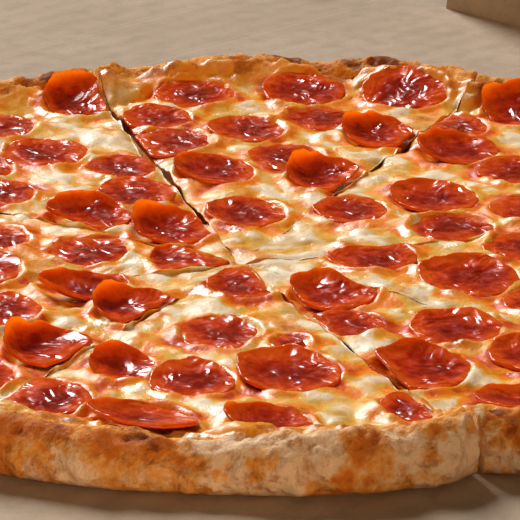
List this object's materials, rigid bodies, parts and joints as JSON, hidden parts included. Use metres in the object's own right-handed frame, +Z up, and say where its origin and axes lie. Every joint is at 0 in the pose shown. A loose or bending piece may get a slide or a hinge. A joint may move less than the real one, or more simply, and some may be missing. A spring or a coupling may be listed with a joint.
{
  "type": "pizza in its box",
  "caption": "Round pepperoni pizza cut into slices, lying in an opened corrugated cardboard box with a fold-over lid.",
  "frame": {"origin": "middle of the flat underside of the box's tray", "axes": "+Z up, +Y towards the hinged lid, +X towards the standing right-hand wall of the tray"},
  "size_m": [0.61, 1.0719, 0.0526],
  "materials": {
    "board": "matte",
    "crust": "matte",
    "cheese": "satin",
    "pepperoni": "gloss"
  },
  "bodies": {
    "tray_and_pizza": {"tray": "board", "crust_1": "crust", "crust_2": "crust", "crust_3": "crust", "crust_4": "crust", "crust_5": "crust", "crust_6": "crust", "crust_7": "crust", "crust_8": "crust", "cheese_1": "cheese", "cheese_2": "cheese", "cheese_3": "cheese", "cheese_4": "cheese", "cheese_5": "cheese", "cheese_6": "cheese", "cheese_7": "cheese", "cheese_8": "cheese", "pepperoni_1": "pepperoni", "pepperoni_2": "pepperoni", "pepperoni_3": "pepperoni", "pepperoni_4": "pepperoni", "pepperoni_5": "pepperoni", "pepperoni_6": "pepperoni", "pepperoni_7": "pepperoni", "pepperoni_8": "pepperoni", "pepperoni_9": "pepperoni", "pepperoni_10": "pepperoni", "pepperoni_11": "pepperoni", "pepperoni_12": "pepperoni", "pepperoni_13": "pepperoni", "pepperoni_14": "pepperoni", "pepperoni_15": "pepperoni", "pepperoni_16": "pepperoni", "pepperoni_17": "pepperoni", "pepperoni_18": "pepperoni", "pepperoni_19": "pepperoni", "pepperoni_20": "pepperoni", "pepperoni_21": "pepperoni", "pepperoni_22": "pepperoni", "pepperoni_23": "pepperoni", "pepperoni_24": "pepperoni", "pepperoni_25": "pepperoni", "pepperoni_26": "pepperoni", "pepperoni_27": "pepperoni", "pepperoni_28": "pepperoni", "pepperoni_29": "pepperoni", "pepperoni_30": "pepperoni", "pepperoni_31": "pepperoni", "pepperoni_32": "pepperoni", "pepperoni_33": "pepperoni", "pepperoni_34": "pepperoni", "pepperoni_35": "pepperoni", "pepperoni_36": "pepperoni", "pepperoni_37": "pepperoni", "pepperoni_38": "pepperoni", "pepperoni_39": "pepperoni", "pepperoni_40": "pepperoni"},
    "left_wall": {"left_wall": "board"},
    "rear_wall": {"rear_wall": "board"},
    "lid": {"lid": "board"}
  },
  "joints": [
    {"name": "left_wall_fold", "type": "hinge", "parent": "tray_and_pizza", "child": "left_wall", "pos_m": [-0.255, 0, 0.003], "axis": [0, 1, 0], "range_deg": [0, 90]},
    {"name": "rear_wall_fold", "type": "hinge", "parent": "tray_and_pizza", "child": "rear_wall", "pos_m": [0, 0.255, 0.003], "axis": [1, 0, 0], "range_deg": [0, 90]},
    {"name": "lid_fold", "type": "hinge", "parent": "rear_wall", "child": "lid", "pos_m": [0, 0.3054, 0.003], "axis": [1, 0, 0], "range_deg": [0, 90]}
  ]
}
